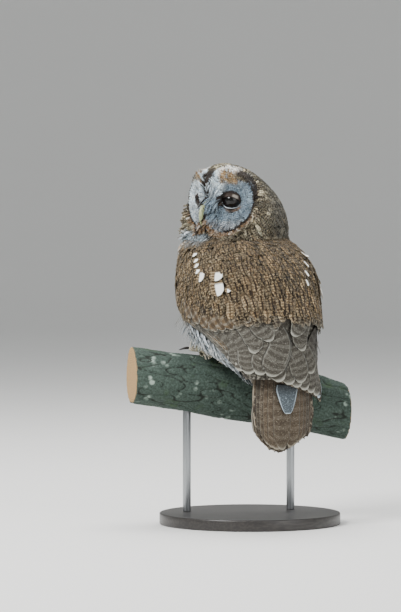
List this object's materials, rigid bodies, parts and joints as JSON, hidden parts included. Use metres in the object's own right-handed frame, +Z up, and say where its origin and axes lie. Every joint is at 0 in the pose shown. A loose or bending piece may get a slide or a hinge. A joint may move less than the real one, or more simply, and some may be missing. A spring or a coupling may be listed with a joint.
{
  "type": "tawny owl",
  "caption": "Still, life-size tawny owl gripping a cut branch on a display stand, its back to the viewer and its head turned over its left shoulder.",
  "frame": {"origin": "centre of the underside of the stand's round base", "axes": "+Z up; the bird's breast faces -Y and its left side is +X; the face is turned towards +X and a little +Y"},
  "size_m": [0.2807, 0.224, 0.4475],
  "materials": {
    "head_plumage": "soft brown and grey head feathers, matte",
    "body_plumage": "soft streaked brown body feathers, matte",
    "quills": "firm barred wing and tail feathers, faint silky sheen",
    "down": "short pale feathering of legs and toes, matte",
    "claw": "dark horn, softly polished",
    "eye": "wet, almost black brown",
    "bill": "pale yellowish green horn, satin",
    "bark": "rough grey-green bark with pale lichen",
    "stand_base": "black stained wood, satin",
    "stand_rod": "satin steel"
  },
  "bodies": {
    "root": {"head": "head_plumage", "neck": "head_plumage", "trunk": "body_plumage", "tail": "quills", "wing_left": "quills", "wing_right": "quills", "leg_left": "down", "leg_right": "down", "foot_left": "down", "foot_right": "down", "claw_left_inner": "claw", "claw_left_middle": "claw", "claw_left_outer": "claw", "claw_left_hind": "claw", "claw_right_inner": "claw", "claw_right_middle": "claw", "claw_right_outer": "claw", "claw_right_hind": "claw", "eye_left": "eye", "eye_right": "eye", "bill_upper": "bill", "bill_lower": "bill", "perch_branch": "bark", "stand_base": "stand_base", "stand_rod_1": "stand_rod", "stand_rod_2": "stand_rod"}
  },
  "joints": []
}
